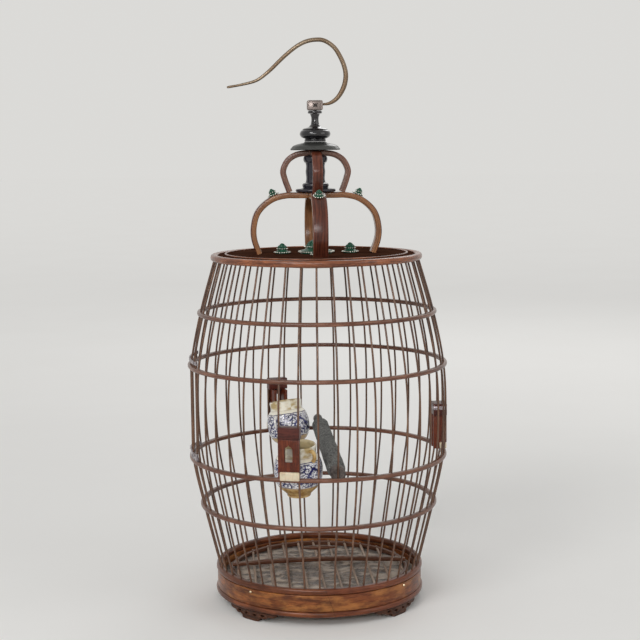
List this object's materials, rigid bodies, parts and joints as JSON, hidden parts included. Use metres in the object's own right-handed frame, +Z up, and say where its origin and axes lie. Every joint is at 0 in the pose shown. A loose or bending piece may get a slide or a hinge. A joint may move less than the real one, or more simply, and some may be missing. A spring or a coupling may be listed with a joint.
{
  "type": "birdcage",
  "caption": "Round belly-shaped bamboo birdcage with a sliding barred door, a lifting floor grille, hung jars, an arched crown and a swivelling hook.",
  "frame": {"origin": "on the ground, under the middle of the cage", "axes": "+Z up to the hook, the sliding door on -X, the perch along Y"},
  "size_m": [0.3371, 0.3374, 0.729],
  "materials": {
    "bamboo": "polished bamboo, satin",
    "dark_bamboo": "oiled dark bamboo",
    "base_wood": "varnished with dark mottles",
    "bead_wood": "varnished",
    "lacquer": "dark gloss lacquer",
    "crown_wood": "lacquered red-brown wood",
    "pale_wood": "bare pale wood",
    "ebony": "polished black",
    "patina": "dark green patina",
    "aged_metal": "aged, engraved",
    "brass": "worn, satin",
    "silver": "filigree with green centre",
    "white_metal": "polished white metal",
    "red_wood": "polished red-brown wood",
    "bone": "polished bone",
    "porcelain": "glazed, blue on cream",
    "perch_grit": "coarse dark grit",
    "cloth": "wrinkled plain cloth"
  },
  "bodies": {
    "cage": {"foot_front_right": "base_wood", "foot_back_right": "base_wood", "foot_back_left": "base_wood", "foot_front_left": "base_wood", "base_lower_bead": "bead_wood", "base_band": "base_wood", "wall_back_right": "dark_bamboo", "wall_back_left": "dark_bamboo", "wall_front_left": "dark_bamboo", "wall_front_right": "dark_bamboo", "hoop_1": "bamboo", "hoop_2": "bamboo", "hoop_3": "bamboo", "hoop_4": "bamboo", "top_rim": "bamboo", "top_board": "lacquer", "top_inlay_ring": "lacquer", "under_boss": "pale_wood", "lower_arch_x": "crown_wood", "lower_arch_y": "crown_wood", "upper_arch_x": "crown_wood", "upper_arch_y": "crown_wood", "crown_baluster": "ebony", "flange": "patina", "finial": "ebony", "finial_collar": "ebony", "rosette_centre": "silver", "rosette_board_right": "silver", "rosette_board_back": "silver", "rosette_board_left": "silver", "rosette_board_front": "silver", "rosette_shoulder_right": "silver", "rosette_shoulder_back": "silver", "rosette_shoulder_left": "silver", "rosette_shoulder_front": "silver", "jar_bracket_front": "red_wood", "jar_bracket_back": "red_wood", "jar_bracket_right": "red_wood", "bracket_bone_front": "bone", "bracket_bone_back": "bone", "bracket_bone_right": "bone", "perch": "perch_grit", "floor_board": "pale_wood", "floor_cloth": "cloth"},
    "hook": {"hook_block": "aged_metal", "hook_wire": "brass"},
    "door": {"door_frame": "white_metal", "door_head": "white_metal"},
    "front_jar": {"jar_front": "porcelain"},
    "back_jar": {"jar_back": "porcelain"},
    "grille": {"floor_grille": "red_wood", "grille_crossbar": "red_wood", "grille_handle": "dark_bamboo"}
  },
  "joints": [
    {"name": "hook_swivel", "type": "hinge", "parent": "cage", "child": "hook", "pos_m": [0, 0, 0.64], "axis": [0, 0, 1], "continuous": true},
    {"name": "door_slide", "type": "slide", "parent": "cage", "child": "door", "axis": [0, 0, 1], "range_m": [0, 0.1045]},
    {"name": "front_jar_lift", "type": "slide", "parent": "cage", "child": "front_jar", "axis": [0, 0, 1], "range_m": [0, 0.03]},
    {"name": "back_jar_lift", "type": "slide", "parent": "cage", "child": "back_jar", "axis": [0, 0, 1], "range_m": [0, 0.018]},
    {"name": "grille_lift", "type": "slide", "parent": "cage", "child": "grille", "axis": [0, 0, 1], "range_m": [0, 0.03]}
  ]
}
